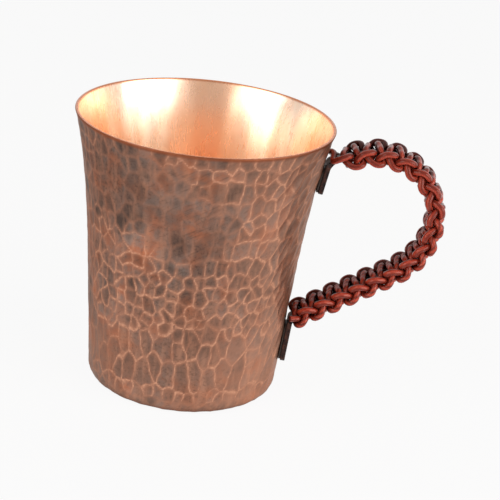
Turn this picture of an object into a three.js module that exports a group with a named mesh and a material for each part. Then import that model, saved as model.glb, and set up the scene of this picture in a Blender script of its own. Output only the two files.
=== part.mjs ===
// A hand-hammered copper coffee cup with a cord-bound strap handle.
// Millimetres, +Z up. The origin is the middle of the base, on the surface the cup stands on.
// The handle lies in the XZ plane, on the +X side.
import * as THREE from "three";
import { mergeVertices } from "three/addons/utils/BufferGeometryUtils.js";

// The cup, raised from one sheet: an even taper that flares out to the lip.
const CUP_HEIGHT = 92.5;
const RIM_DIAMETER = 85;
const WALL_FOOT_DIAMETER = 63.0; // the outer wall carried straight down to the table
const FLARE = 3.85; // how far the lip stands out beyond the even taper
const FLARE_POWER = 5; // a higher power keeps the flare nearer the lip
const SHEET = 1.0; // thickness of the copper
const BASE_CORNER_RADIUS = 3.8; // outer bend between wall and base
const LIP_ROUNDING = 0.3; // the filed edges of the rim
const CUP_SEGMENTS = 72;
const WALL_STEPS = 12;
const CORNER_STEPS = 4;

// The handle strip, flat copper bent across its thickness.
const STRIP_THICKNESS = 1.6;
const GRIP_WIDTH = 4.0; // under the cord
const TAB_WIDTH = 9.0; // beaten wider where it lies on the wall
const TAB_CORNER_RADIUS = 3.0;
const UPPER_ROOT_BELOW_RIM = 10.5; // corner of tab and top run, before bending
const UPPER_TAB_LENGTH = 11.3; // from that corner down to the tab's end
const LOWER_TAB_END_HEIGHT = 10.0;
const LOWER_TAB_LENGTH = 16.0; // up to the corner with the lower run
const HANDLE_REACH = 78.0; // from the cup's axis to the middle of the strip at its farthest
const TOP_RUN_RISE = THREE.MathUtils.degToRad(19.5);
const UPPER_ROOT_BEND_RADIUS = 3;
const UPPER_TAPER_END_GAP = 1.2; // from this bend to where the strip has narrowed to the grip
const UPPER_BOW_RADIUS = 20.3; // the two bows meet where the handle stands out farthest
const LOWER_BOW_RADIUS = 23.5;
const LOWER_ROOT_BEND_RADIUS = 3.5;
const BEND_STEP = THREE.MathUtils.degToRad(10); // facets along a bend
const STRIP_COLUMNS = 4; // facets across the strip
const TAB_CORNER_STEPS = 3;

// The solder between tab and wall.
const SOLDER_THICKNESS = 0.3;
const SOLDER_INSET = 0.8; // how far it stays inside the tab's outline
const TOUCH_GAP = 0.25; // left between pieces that touch

// The cord, tied over the strip in flat knots.
const CORD_DIAMETER = 1.5;
const CORD_CLEARANCE = 0.6; // between neighbouring turns of the cord
const KNOT_TIGHTNESS = 1.476; // half knots lie at least this many cord spacings apart
const SLEEVE_START_GAP = 2.5; // from the upper root bend to where the knots are counted from
const SLEEVE_END_GAP = 0.2; // from the last half knot to the lower root bend
const FOLD_STRETCH = 1.8; // how much nearer to the wall the fold lies than an even spacing puts it
const STRETCHED_KNOTS = 4; // the half knots that share this stretch
const FIRST_HAND = -1; // the edge, -Y or +Y, to which the inner end goes first
const CORD_SIDES = 5;
const CORD_STEP = 1.7; // length of one facet along the cord
const LENGTH_DIVISIONS = 8; // between two way points, for measuring the cord

// Finishes.
const OLD_COPPER = { color: "#8b5c49", roughness: 0.42, metalness: 1 };
const DARK_COPPER = { color: "#3d302c", roughness: 0.5, metalness: 1 };
const SOLDER = { color: "#6b625c", roughness: 0.4, metalness: 1 };
const WAXED_CORD = { color: "#7d2b20", roughness: 0.6, metalness: 0 };

const quarterTurn = Math.PI / 2;
const halfStrip = STRIP_THICKNESS / 2;
const halfGrip = GRIP_WIDTH / 2;
const halfTab = TAB_WIDTH / 2;
const seam = SOLDER_THICKNESS + 2 * TOUCH_GAP;
const rimRadius = RIM_DIAMETER / 2;
const wallFootRadius = WALL_FOOT_DIAMETER / 2;
const upperRootHeight = CUP_HEIGHT - UPPER_ROOT_BELOW_RIM;
const upperTabEnd = upperRootHeight - UPPER_TAB_LENGTH;
const lowerRootHeight = LOWER_TAB_END_HEIGHT + LOWER_TAB_LENGTH;

// Outer radius of the wall at a height.
function wallRadius(z) {
  const share = z / CUP_HEIGHT;
  const taper = (rimRadius - FLARE - wallFootRadius) * share;
  return wallFootRadius + taper + FLARE * share ** FLARE_POWER;
}

function namedMesh(name, geometry, finish) {
  const mesh = new THREE.Mesh(geometry, new THREE.MeshStandardMaterial(finish));
  mesh.name = name;
  return mesh;
}

// The profile runs from the middle of the base's underside, up the outer wall, over the rim and
// down the inner wall to the middle of the base's upper side.
function cupProfile() {
  const points = [new THREE.Vector2(0, 0)];
  const cornerTop = BASE_CORNER_RADIUS;
  const outerCentre = wallRadius(cornerTop) - BASE_CORNER_RADIUS;
  const innerCorner = BASE_CORNER_RADIUS - SHEET;
  const lipHeight = CUP_HEIGHT - LIP_ROUNDING;
  for (let i = 0; i <= CORNER_STEPS; i++) {
    const angle = (i / CORNER_STEPS - 1) * quarterTurn;
    const x = outerCentre + BASE_CORNER_RADIUS * Math.cos(angle);
    points.push(new THREE.Vector2(x, cornerTop + BASE_CORNER_RADIUS * Math.sin(angle)));
  }
  for (let i = 1; i <= WALL_STEPS; i++) {
    const z = THREE.MathUtils.lerp(cornerTop, lipHeight, i / WALL_STEPS);
    points.push(new THREE.Vector2(wallRadius(z), z));
  }
  points.push(new THREE.Vector2(rimRadius - LIP_ROUNDING, CUP_HEIGHT));
  points.push(new THREE.Vector2(rimRadius - SHEET + LIP_ROUNDING, CUP_HEIGHT));
  for (let i = WALL_STEPS; i >= 1; i--) {
    const z = THREE.MathUtils.lerp(cornerTop, lipHeight, i / WALL_STEPS);
    points.push(new THREE.Vector2(wallRadius(z) - SHEET, z));
  }
  for (let i = CORNER_STEPS; i >= 0; i--) {
    const angle = (i / CORNER_STEPS - 1) * quarterTurn;
    const x = outerCentre + innerCorner * Math.cos(angle);
    points.push(new THREE.Vector2(x, cornerTop + innerCorner * Math.sin(angle)));
  }
  points.push(new THREE.Vector2(0, SHEET));
  return points;
}

function cupBody() {
  const geometry = new THREE.LatheGeometry(cupProfile(), CUP_SEGMENTS);
  geometry.rotateX(Math.PI / 2);
  return namedMesh("cup_body", geometry, OLD_COPPER);
}

// A path of straight runs with round bends between them, in the XZ plane: run, bend, run and so on.
function bentPath(corners, radii) {
  const path = new THREE.CurvePath();
  let runStart = corners[0];
  for (let i = 1; i < corners.length - 1; i++) {
    const before = corners[i].clone().sub(corners[i - 1]).normalize();
    const after = corners[i + 1].clone().sub(corners[i]).normalize();
    const turn = Math.atan2(before.cross(after), before.dot(after));
    const radius = radii[i - 1];
    const reach = radius * Math.tan(Math.abs(turn) / 2);
    const start = corners[i].clone().addScaledVector(before, -reach);
    const inwards = new THREE.Vector2(-before.y, before.x).multiplyScalar(Math.sign(turn));
    const centre = start.clone().addScaledVector(inwards, radius);
    const from = start.clone().sub(centre).angle();
    path.add(new THREE.LineCurve(runStart, start));
    path.add(new THREE.EllipseCurve(centre.x, centre.y, radius, radius, from, from + turn, turn < 0));
    runStart = corners[i].clone().addScaledVector(after, reach);
  }
  path.add(new THREE.LineCurve(runStart, corners[corners.length - 1]));
  return path;
}

// Where the middle of a tab lies, at a height: on a straight line that keeps the seam at both ends.
function tabLine(endHeight, rootHeight) {
  const place = (z) => wallRadius(z) + seam + halfStrip;
  const slope = (place(rootHeight) - place(endHeight)) / (rootHeight - endHeight);
  return (z) => place(endHeight) + slope * (z - endHeight);
}

const upperTabTop = upperRootHeight - UPPER_ROOT_BEND_RADIUS / 2;
const lowerTabTop = lowerRootHeight - LOWER_ROOT_BEND_RADIUS / 2;
const upperTab = tabLine(upperTabEnd, upperTabTop);
const lowerTab = tabLine(LOWER_TAB_END_HEIGHT, lowerTabTop);
const upperRoot = new THREE.Vector2(upperTab(upperRootHeight), upperRootHeight);
const lowerRoot = new THREE.Vector2(lowerTab(lowerRootHeight), lowerRootHeight);

// The handle stands out farthest where the two bows meet. The lower run starts there as a tangent
// to the lower bow and ends at the lower root.
const topCorner = upperRoot.y + (HANDLE_REACH - upperRoot.x) * Math.tan(TOP_RUN_RISE);
const farthestHeight = topCorner - UPPER_BOW_RADIUS * Math.tan((quarterTurn + TOP_RUN_RISE) / 2);
const toLowerBow = new THREE.Vector2(HANDLE_REACH - LOWER_BOW_RADIUS, farthestHeight).sub(lowerRoot);
const lowerRunRise = toLowerBow.angle() - Math.asin(LOWER_BOW_RADIUS / toLowerBow.length());
const bottomCorner = farthestHeight - LOWER_BOW_RADIUS * Math.tan((quarterTurn - lowerRunRise) / 2);
const stripPath = bentPath(
  [
    new THREE.Vector2(upperTab(upperTabEnd), upperTabEnd),
    upperRoot,
    new THREE.Vector2(HANDLE_REACH, topCorner),
    new THREE.Vector2(HANDLE_REACH, bottomCorner),
    lowerRoot,
    new THREE.Vector2(lowerTab(LOWER_TAB_END_HEIGHT), LOWER_TAB_END_HEIGHT),
  ],
  [UPPER_ROOT_BEND_RADIUS, UPPER_BOW_RADIUS, LOWER_BOW_RADIUS, LOWER_ROOT_BEND_RADIUS],
);

// Length along the strip at the end of each run and bend, from the upper tab's end.
const runEnds = stripPath.getCurveLengths();
const stripLength = runEnds.at(-1);
const upperBend = { start: runEnds.at(0), end: runEnds.at(1) };
const lowerBend = { start: runEnds.at(-3), end: runEnds.at(-2) };
const upperTaperEnd = upperBend.end + UPPER_TAPER_END_GAP;
const sleeveStart = upperBend.end + SLEEVE_START_GAP;

// A point beside the strip: s along it, u across it (Y), v out of the handle's loop.
function besideStrip(s, u, v) {
  const share = THREE.MathUtils.clamp(s / stripLength, 0, 1);
  const middle = stripPath.getPoint(share);
  const along = stripPath.getTangent(share);
  return new THREE.Vector3(middle.x - along.y * v, u, middle.y + along.x * v);
}

// 1 on a tab, 0 on the grip, changing evenly through the bend between them, and at the top a
// little beyond it.
function tabShare(s) {
  const upper = 1 - THREE.MathUtils.smoothstep(s, upperBend.start, upperTaperEnd);
  const lower = THREE.MathUtils.smoothstep(s, lowerBend.start, lowerBend.end);
  return Math.max(upper, lower);
}

// Half width of a rounded tab, inset by a margin, at a length from its end.
function roundedHalfWidth(fromEnd, inset) {
  const radius = TAB_CORNER_RADIUS - inset;
  const missing = Math.max(0, radius - fromEnd);
  return halfTab - inset - radius + Math.sqrt(Math.max(0, radius ** 2 - missing ** 2));
}

// How far a tab bends back towards the wall at a distance from its middle line.
function hollow(radius, u) {
  return radius - Math.sqrt(radius ** 2 - u ** 2);
}

// A closed sheet between two grids of points, rows by columns, front and back.
function slab(front, back) {
  const rows = front.length;
  const columns = front[0].length;
  const positions = [];
  const quad = (a, b, c, d) => {
    for (const point of [a, b, c, a, c, d]) {
      positions.push(point.x, point.y, point.z);
    }
  };
  for (let i = 0; i + 1 < rows; i++) {
    for (let j = 0; j + 1 < columns; j++) {
      quad(front[i][j], front[i + 1][j], front[i + 1][j + 1], front[i][j + 1]);
      quad(back[i][j], back[i][j + 1], back[i + 1][j + 1], back[i + 1][j]);
    }
    quad(front[i][0], back[i][0], back[i + 1][0], front[i + 1][0]);
    quad(front[i][columns - 1], front[i + 1][columns - 1], back[i + 1][columns - 1], back[i][columns - 1]);
  }
  for (let j = 0; j + 1 < columns; j++) {
    quad(front[0][j], front[0][j + 1], back[0][j + 1], back[0][j]);
    quad(front[rows - 1][j], back[rows - 1][j], back[rows - 1][j + 1], front[rows - 1][j + 1]);
  }
  const geometry = new THREE.BufferGeometry();
  geometry.setAttribute("position", new THREE.Float32BufferAttribute(positions, 3));
  return mergeVertices(geometry);
}

// Lengths from a tab's end at which its round corners have their facets.
function tabEndSteps(radius) {
  const steps = [];
  for (let i = 0; i <= TAB_CORNER_STEPS; i++) {
    steps.push(radius * (1 - Math.cos((quarterTurn * i) / TAB_CORNER_STEPS)));
  }
  return steps;
}

// The stations along the strip where its facets meet.
function stripStations() {
  const stations = [...tabEndSteps(TAB_CORNER_RADIUS), upperTaperEnd];
  stripPath.curves.forEach((run, index) => {
    const end = runEnds[index];
    const length = run.getLength();
    const steps = run.isEllipseCurve ? Math.ceil(Math.abs(run.aEndAngle - run.aStartAngle) / BEND_STEP) : 1;
    for (let i = 1; i <= steps; i++) {
      stations.push(end - length + (length * i) / steps);
    }
  });
  stations.pop();
  for (const step of tabEndSteps(TAB_CORNER_RADIUS).reverse()) {
    stations.push(stripLength - step);
  }
  return stations.sort((a, b) => a - b);
}

function handleStrip() {
  const front = [];
  const back = [];
  for (const s of stripStations()) {
    const share = tabShare(s);
    const rounded = roundedHalfWidth(Math.min(s, stripLength - s), 0);
    const halfWidth = THREE.MathUtils.lerp(halfGrip, rounded, share);
    const frontRow = [];
    const backRow = [];
    for (let j = 0; j <= STRIP_COLUMNS; j++) {
      const u = halfWidth * ((2 * j) / STRIP_COLUMNS - 1);
      const shift = new THREE.Vector3(-share * hollow(besideStrip(s, u, 0).x, u), 0, 0);
      frontRow.push(besideStrip(s, u, halfStrip).add(shift));
      backRow.push(besideStrip(s, u, -halfStrip).add(shift));
    }
    front.push(frontRow);
    back.push(backRow);
  }
  return namedMesh("handle_strip", slab(front, back), DARK_COPPER);
}

// Solder fills the seam between a tab's back and the wall, from the tab's end up to the root bend.
function solderSeam(name, endHeight, topHeight, tabMiddle) {
  const height = topHeight - endHeight - 2 * SOLDER_INSET;
  const radius = TAB_CORNER_RADIUS - SOLDER_INSET;
  const heights = [...tabEndSteps(radius), ...tabEndSteps(radius).map((step) => height - step).reverse()];
  const outer = [];
  const inner = [];
  for (const fromEnd of heights) {
    const z = endHeight + SOLDER_INSET + fromEnd;
    const halfWidth = roundedHalfWidth(Math.min(fromEnd, height - fromEnd), SOLDER_INSET);
    const outerRow = [];
    const innerRow = [];
    for (let j = 0; j <= STRIP_COLUMNS; j++) {
      const u = halfWidth * ((2 * j) / STRIP_COLUMNS - 1);
      const outerX = tabMiddle(z) - halfStrip - TOUCH_GAP;
      const innerX = wallRadius(z) + TOUCH_GAP;
      outerRow.push(new THREE.Vector3(outerX - hollow(tabMiddle(z), u), u, z));
      innerRow.push(new THREE.Vector3(innerX - hollow(innerX, u), u, z));
    }
    outer.push(outerRow);
    inner.push(innerRow);
  }
  return namedMesh(name, slab(inner, outer), SOLDER);
}

// Way points of one working end through one half knot, from the middle of a bar that crosses one
// face of the strip to the next bar. Each is [along, across, out]: along in half knots, across in
// cord spacings beyond the strip's edge, out in cord spacings beyond its bar face.
// The other working end takes the same way, turned half round the strip.
const cordSpacing = CORD_DIAMETER + CORD_CLEARANCE;
const barEnd = [-0.35, 0.44, 0.65];
const passesOutside = [-0.27, 1.34, -0.2];
const outerTurn = [0.41, 1.98, -1.22];
const lowerTurn = [1.19, 1.67, -1.3];
const divesInside = [1.29, 0.72, -0.82];
const barStart = [0.9, 0.39, 0.4];
const halfKnot = [barEnd, passesOutside, outerTurn, lowerTurn, divesInside, barStart];
const barMiddle = { along: -0.18, out: 0.6 };
const foldTurn = [-0.27, 1.2, -0.93]; // where the fold leaves the outer face of the strip

const sleeveLength = lowerBend.start - SLEEVE_END_GAP - sleeveStart;
const gaps = Math.floor(sleeveLength / (KNOT_TIGHTNESS * cordSpacing));
const pitch = sleeveLength / gaps;
const halfKnots = gaps + 1;

// Length along the strip at a number of half knots from the fold. The first ones are drawn out
// towards the wall.
function alongStrip(count) {
  const drawnOut = FOLD_STRETCH * Math.max(0, 1 - count / STRETCHED_KNOTS);
  return sleeveStart + count * pitch - drawnOut;
}

// One way point. hand is +1 or -1 for the edge that the working end goes to, and face +1 or -1 for
// the side of the strip that its bars cross.
function wayPoint(index, hand, face, [along, across, out]) {
  const u = hand * (halfGrip + across * cordSpacing);
  return besideStrip(alongStrip(index + along), u, face * (halfStrip + out * cordSpacing));
}

function barPoint(index, face) {
  const v = face * (halfStrip + barMiddle.out * cordSpacing);
  return besideStrip(alongStrip(index + barMiddle.along), 0, v);
}

// One cord, folded at its middle: the fold crosses the outer face of the strip at the first half
// knot, and from there each end works its own way down.
function cordPath() {
  const afterFold = [foldTurn, outerTurn, lowerTurn, divesInside, barStart];
  const cutShort = [barEnd, passesOutside, outerTurn];
  const innerEnd = afterFold.map((point) => wayPoint(0, FIRST_HAND, -1, point));
  const outerEnd = [barPoint(0, 1), ...halfKnot.map((point) => wayPoint(0, -FIRST_HAND, 1, point))];
  for (let i = 1; i < halfKnots; i++) {
    const hand = i % 2 === 0 ? FIRST_HAND : -FIRST_HAND;
    const points = i === halfKnots - 1 ? cutShort : halfKnot;
    innerEnd.push(barPoint(i, -1), ...points.map((point) => wayPoint(i, hand, -1, point)));
    outerEnd.push(barPoint(i, 1), ...points.map((point) => wayPoint(i, -hand, 1, point)));
  }
  return new THREE.CatmullRomCurve3([...innerEnd.reverse(), ...outerEnd], false, "catmullrom", 0.5);
}

// Least distance between the cord's surface and itself, on evenly spaced points, where they are at
// least two cord spacings apart along it.
function leastGap(points, spacing) {
  const apart = Math.ceil((2 * cordSpacing) / spacing);
  let least = Infinity;
  for (let i = 0; i < points.length; i++) {
    for (let j = i + apart; j < points.length; j++) {
      least = Math.min(least, points[i].distanceTo(points[j]));
    }
  }
  return least - CORD_DIAMETER;
}

function handleCord() {
  const path = cordPath();
  path.arcLengthDivisions = path.points.length * LENGTH_DIVISIONS;
  const length = path.getLength();
  const section = new THREE.Shape();
  for (let i = 0; i < CORD_SIDES; i++) {
    const angle = (2 * Math.PI * i) / CORD_SIDES;
    const x = (CORD_DIAMETER / 2) * Math.cos(angle);
    const y = (CORD_DIAMETER / 2) * Math.sin(angle);
    if (i === 0) {
      section.moveTo(x, y);
    } else {
      section.lineTo(x, y);
    }
  }
  const steps = Math.round(length / CORD_STEP);
  const geometry = new THREE.ExtrudeGeometry(section, {
    steps,
    extrudePath: path,
    bevelEnabled: false,
    curveSegments: 1,
  });
  const gap = leastGap(path.getSpacedPoints(steps * 2), length / (steps * 2));
  console.log("half knots in the handle cord:", halfKnots);
  console.log("length of the handle cord, mm:", Math.round(length));
  console.log("least gap of the handle cord to itself, mm:", gap.toFixed(2));
  return namedMesh("handle_cord", geometry, WAXED_CORD);
}

const cup = new THREE.Group();
cup.name = "copper_cup";
cup.add(
  cupBody(),
  handleStrip(),
  solderSeam("upper_solder_seam", upperTabEnd, upperTabTop, upperTab),
  solderSeam("lower_solder_seam", LOWER_TAB_END_HEIGHT, lowerTabTop, lowerTab),
  handleCord(),
);

export default cup;
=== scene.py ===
# %% [markdown]
# This lesson dresses a hand-hammered copper coffee cup. Its solids come from a CAD model: the cup,
# a handle bent from flat strip, the solder that holds the handle, and a cord knotted over it.
# Here each of them gets the fine surface and the finish of the real one. The CAD model says where
# each piece goes. The scene is in metres, and sizes written in millimetres are multiplied by MM.

# %% The CAD frame
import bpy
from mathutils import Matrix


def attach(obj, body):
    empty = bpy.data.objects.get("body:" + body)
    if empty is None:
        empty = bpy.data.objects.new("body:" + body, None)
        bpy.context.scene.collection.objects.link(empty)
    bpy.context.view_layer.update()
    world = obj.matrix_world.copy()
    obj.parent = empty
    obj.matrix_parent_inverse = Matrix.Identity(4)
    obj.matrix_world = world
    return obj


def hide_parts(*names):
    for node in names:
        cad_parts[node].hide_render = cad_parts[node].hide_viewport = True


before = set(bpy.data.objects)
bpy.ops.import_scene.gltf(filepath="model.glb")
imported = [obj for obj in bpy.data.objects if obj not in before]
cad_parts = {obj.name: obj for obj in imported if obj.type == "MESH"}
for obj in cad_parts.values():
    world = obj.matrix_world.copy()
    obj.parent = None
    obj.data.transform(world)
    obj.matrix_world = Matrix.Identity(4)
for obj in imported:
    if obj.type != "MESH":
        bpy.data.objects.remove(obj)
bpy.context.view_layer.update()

import math
import random

import bmesh
import bpy
import numpy as np
from mathutils import Matrix, Vector

MM = 0.001

# %% [markdown]
# A few helpers serve every piece. One puts an object into the scene, and one keeps a number per
# point of a mesh. One turns a hex colour into the linear light values that the shader works with.
# One says which noise scale gives spots of a size in millimetres. One starts a material, and one
# adds a node, with its settings and its links, so that a material reads as a short list of nodes.

# %% Helpers for the pieces and their materials
def new_object(name, data):
    """An object in the scene."""
    made = bpy.data.objects.new(name, data)
    bpy.context.scene.collection.objects.link(made)
    return made


def mark(mesh, name, values):
    """Keeps one number per point of a mesh, for its material."""
    layer = mesh.attributes.new(name, "FLOAT", "POINT")
    layer.data.foreach_set("value", values.astype(np.float32))


def colour(code):
    """Linear RGBA of an sRGB hex colour."""
    channels = [int(code[i : i + 2], 16) / 255 for i in (1, 3, 5)]
    linear = [c / 12.92 if c <= 0.04045 else ((c + 0.055) / 1.055) ** 2.4 for c in channels]
    return (*linear, 1.0)


def spots(size):
    """Texture scale, in metres, for spots of a size in millimetres."""
    return 1 / (size * MM)


def add(material, kind, inputs=None, **settings):
    """Adds a node. An input is given a value or the output socket that feeds it."""
    node = material.node_tree.nodes.new(kind)
    for name, value in settings.items():
        setattr(node, name, value)
    for key, value in (inputs or {}).items():
        if isinstance(value, bpy.types.NodeSocket):
            material.node_tree.links.new(value, node.inputs[key])
        else:
            node.inputs[key].default_value = value
    return node


def new_material(name):
    """A material without nodes."""
    material = bpy.data.materials.new(name)
    material.use_nodes = True
    material.node_tree.nodes.clear()
    return material


# In a Mix node set to colours, these are the factor, the two colours and the result.
FACTOR, FIRST, SECOND, RESULT = 0, 6, 7, 2
print("red of #8b5c49 in linear light:", round(colour("#8b5c49")[0], 3))

# %% [markdown]
# The cup is raised from one copper sheet. Its wall tapers evenly and flares out towards the lip,
# and the base meets it in a round corner. The profile is worked out as a list of points along the
# section: under the base, round the corner, up the outer wall, over the lip and back down inside.
# Spinning that section about the axis makes the whole sheet in one step.

# %% The section of the cup
CUP_HEIGHT = 92.5
RIM_RADIUS = 42.5
WALL_FOOT_RADIUS = 31.5
FLARE = 3.85  # how far the rim stands out past the straight taper
FLARE_POWER = 5
SHEET = 1.0
BASE_CORNER = 3.8
LIP_ROUNDING = 0.3
SEGMENTS = 440  # steps round the cup
FINE_STEP = 0.56  # rows that carry hammer marks
BASE_STEP = 1.6  # rows under the base
COARSE_STEP = 4.0  # rows that carry none
LIP_TURNS = 3  # facets of each rounded edge of the lip
BELOW_LIP = (2 * LIP_ROUNDING, 1.5)  # two rows close under the lip, inside, that keep its edge crisp


def wall_radius(z):
    """Outer radius of the wall at a height, in mm."""
    share = z / CUP_HEIGHT
    taper = RIM_RADIUS - FLARE - WALL_FOOT_RADIUS
    return WALL_FOOT_RADIUS + taper * share + FLARE * share**FLARE_POWER


def corner_arc(radius, step):
    """Points of a base corner, from its foot to its top, at a radius."""
    centre = wall_radius(BASE_CORNER) - BASE_CORNER
    count = max(3, round(radius * math.pi / 2 / step))
    turns = [math.pi / 2 * (i / count - 1) for i in range(count + 1)]
    return [(centre + radius * math.cos(t), BASE_CORNER + radius * math.sin(t)) for t in turns]


def heights(step):
    """Heights of the rows of the wall, above its corner."""
    top = CUP_HEIGHT - LIP_ROUNDING
    count = round((top - BASE_CORNER) / step)
    return [BASE_CORNER + (top - BASE_CORNER) * i / count for i in range(1, count + 1)]


def lip_arc(centre, start):
    """Points of one rounded edge of the lip, a quarter turn from a start angle."""
    turns = [start + math.pi / 2 * i / LIP_TURNS for i in range(LIP_TURNS + 1)]
    top = CUP_HEIGHT - LIP_ROUNDING
    return [(centre + LIP_ROUNDING * math.cos(t), top + LIP_ROUNDING * math.sin(t)) for t in turns]


outer_corner = corner_arc(BASE_CORNER, FINE_STEP)
inner_corner = corner_arc(BASE_CORNER - SHEET, 2 * FINE_STEP)
lip_radius = wall_radius(CUP_HEIGHT - LIP_ROUNDING)
foot = outer_corner[0][0]
base_rows = round(foot / BASE_STEP)
inner_rows = round(foot / COARSE_STEP)
outer = [(foot * i / base_rows, 0.0) for i in range(base_rows)]
outer += outer_corner
outer += [(wall_radius(z), z) for z in heights(FINE_STEP)]
inner = lip_arc(lip_radius - LIP_ROUNDING, 0)[1:]
inner += lip_arc(lip_radius - SHEET + LIP_ROUNDING, math.pi / 2)
inner += [(wall_radius(CUP_HEIGHT - below) - SHEET, CUP_HEIGHT - below) for below in BELOW_LIP]
inner += [(wall_radius(z) - SHEET, z) for z in reversed(heights(COARSE_STEP)[:-1])]
inner += list(reversed(inner_corner))
inner += [(foot * i / inner_rows, SHEET) for i in reversed(range(inner_rows))]
section = outer + inner
steps = [0.0] + [math.dist(point, following) for point, following in zip(section, section[1:])]
path_lengths = np.cumsum(steps)
outer_length = path_lengths[len(outer) - 1]
print("points in the section:", len(section), "length of the outer side, mm:", round(outer_length, 1))

# %% [markdown]
# A planishing hammer leaves one shallow round dent per blow. Where two dents meet they leave a
# sharp ridge, so the marks read as a net of cells. Each blow here is a small paraboloid, and the
# sheet's surface is the lowest of all of them: that gives the ridges without drawing them. The
# blows run in rows round the cup, as a hand works, with some scatter. Just under the lip they are
# round, low on the wall they are long upright strokes, round the corner they are small again, and
# towards the handle they lean over.

# %% The hammer blows
SEED = 11
CELL_WIDTH, CELL_HEIGHT = 4.1, 5.5  # on the upper wall, mm
FIRST_ROW = 2.7  # from the lip to the first row of blows, mm
LAST_ROW = 2.0  # no row is nearer the middle of the base than this, mm
LIP_BAND = 5.0  # blows this near the lip are placed with more care, mm
CAREFUL, FREE = 0.16, 0.4  # scatter of the blows, as a share of a cell
STRENGTHS = (0.75, 1.2)  # of the blows
SIZES = (0.85, 1.25)  # of the blows, as a share of a cell
MOST_LEAN = -0.45  # of the blows at the handle, radians
LEANING = (0.3, 0.95)  # where it starts and is full, as the cosine of the angle round the cup
dice = random.Random(SEED)


def blend_between(value, low, high):
    """0 below low, 1 above high, and a smooth change between."""
    share = np.clip((value - low) / (high - low), 0, 1)
    return share * share * (3 - 2 * share)


def cell_size(path):
    """Width and height of the cells at a length along the section, in mm."""
    from_lip = outer_length - path
    # Four zones: round blows at the lip, smaller ones, long strokes and the corner.
    lip = 1 - blend_between(from_lip, 4, 7)
    middle = blend_between(from_lip, 36, 44) * (1 - blend_between(from_lip, 62, 66))
    low = blend_between(from_lip, 62, 68) * (1 - blend_between(from_lip, 79, 82))
    corner = blend_between(from_lip, 79, 83)
    width = CELL_WIDTH + 0.6 * lip - 0.5 * middle + 0.4 * low - 0.6 * corner
    return width, CELL_HEIGHT - 1.4 * lip - 0.8 * middle + 3.2 * low - 1.6 * corner


def lean(angle):
    """How far the blows lean at an angle round the cup, in radians: none at the front."""
    return MOST_LEAN * blend_between(math.cos(angle), *LEANING)


blows = []
path = outer_length - FIRST_ROW
while path > LAST_ROW:
    width, height = cell_size(path)
    round_here = 2 * math.pi * np.interp(path, path_lengths[: len(outer)], [r for r, z in outer])
    count = max(1, round(round_here / width))
    shift = dice.random()
    scatter = CAREFUL if path > outer_length - LIP_BAND else FREE
    for i in range(count):
        angle = 2 * math.pi * (i + shift + dice.uniform(-scatter, scatter)) / count
        strength = dice.uniform(*STRENGTHS)
        blows.append(
            (
                path + dice.uniform(-scatter, scatter) * height,
                angle % (2 * math.pi),
                width * dice.uniform(*SIZES) / 2,
                height * dice.uniform(*SIZES) / 2,
                strength,
                lean(angle),
                dice.uniform(0, 1),
            )
        )
    path -= height
blows = np.array(blows)
print("hammer blows:", len(blows))

# %% [markdown]
# For each point of the outer side the two deepest blows count: the deepest gives the depth, and
# how close the second one comes says how near the point is to a ridge. That nearness is kept as an
# attribute, because ridges are what hands and cloths rub bright, so the material needs it. The tone
# of the deepest blow is kept too: by it a cell can be lighter or darker than the next.

# %% Depth of the marks
DENT = 0.3  # depth of a blow of strength 1 in its middle, mm
STEEPNESS = 0.62  # how fast a dent rises from its middle
REACH = 13  # no blow reaches farther along the section than this, mm
RIDGE_REACH = 1.05  # how far from a ridge its mark fades out, mm
LEAST_SLOPE = 0.4  # between two blows, so that nothing is divided by almost zero
FAINTEST_RIDGE = 0.72  # mark of a ridge between two cells of one tone
CONTRAST = 0.35  # difference in tone that marks a ridge fully
WARP = 0.14  # how far the ridges bend to and fro, mm


def hammered(path, angle, radius):
    """Depth, ridge and tone at points of one row."""
    near = blows[np.abs(blows[:, 0] - path) < REACH]
    row, bearing, half_width, half_height, strength, slant, shade = near.T
    turn = (angle[:, None] - bearing + math.pi) % (2 * math.pi) - math.pi
    # One wave round the cup and one up the wall keep the ridges from being straight.
    bend = WARP * np.sin(path / 0.8 + 4 * np.sin(11 * angle))
    sway = WARP * np.sin(52 * angle + 3 * np.sin(path / 5))
    x = turn * radius + bend[:, None]
    y = path - row + sway[:, None]
    reach = ((x + y * np.tan(slant)) / half_width) ** 2 + (y / half_height) ** 2
    level = STEEPNESS * reach - strength
    order = np.argpartition(level, 1, axis=1)[:, :2]
    pair = np.take_along_axis(level, order, axis=1)
    swap = pair[:, 0] > pair[:, 1]
    first = np.where(swap, order[:, 1], order[:, 0])
    second = np.where(swap, order[:, 0], order[:, 1])
    low, high = pair.min(axis=1), pair.max(axis=1)
    each = np.arange(len(x))
    between = np.hypot(
        (turn[each, first] - turn[each, second]) * radius / half_width[first],
        (row[first] - row[second]) / half_height[first],
    )
    size = (half_width[first] + half_height[first]) / 2
    to_ridge = (high - low) / np.maximum(2 * STEEPNESS * between, LEAST_SLOPE) * size
    contrast = blend_between(np.abs(shade[first] - shade[second]), 0.0, CONTRAST)
    closeness = np.clip(1 - to_ridge / RIDGE_REACH, 0, 1)
    closeness *= FAINTEST_RIDGE + (1 - FAINTEST_RIDGE) * contrast
    return np.minimum(low, 0) * DENT, closeness, shade[first]


# Places where the maker planished the marks down: angle in degrees, mm below the lip, and the
# half width in degrees and half height in mm. The last one is the side away from the handle.
PLANISHED = ((-122, 16, 30, 15), (-88, 27, 20, 11), (75, 40, 45, 18), (178, 45, 26, 60))
PLANISHING = 0.6  # how much of a mark is gone in the middle of such a place
BASE_WORK = 0.5  # how much fainter the marks are under the base
BASE_EDGE = (38, 32)  # where they fade, as lengths along the section, mm


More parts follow.
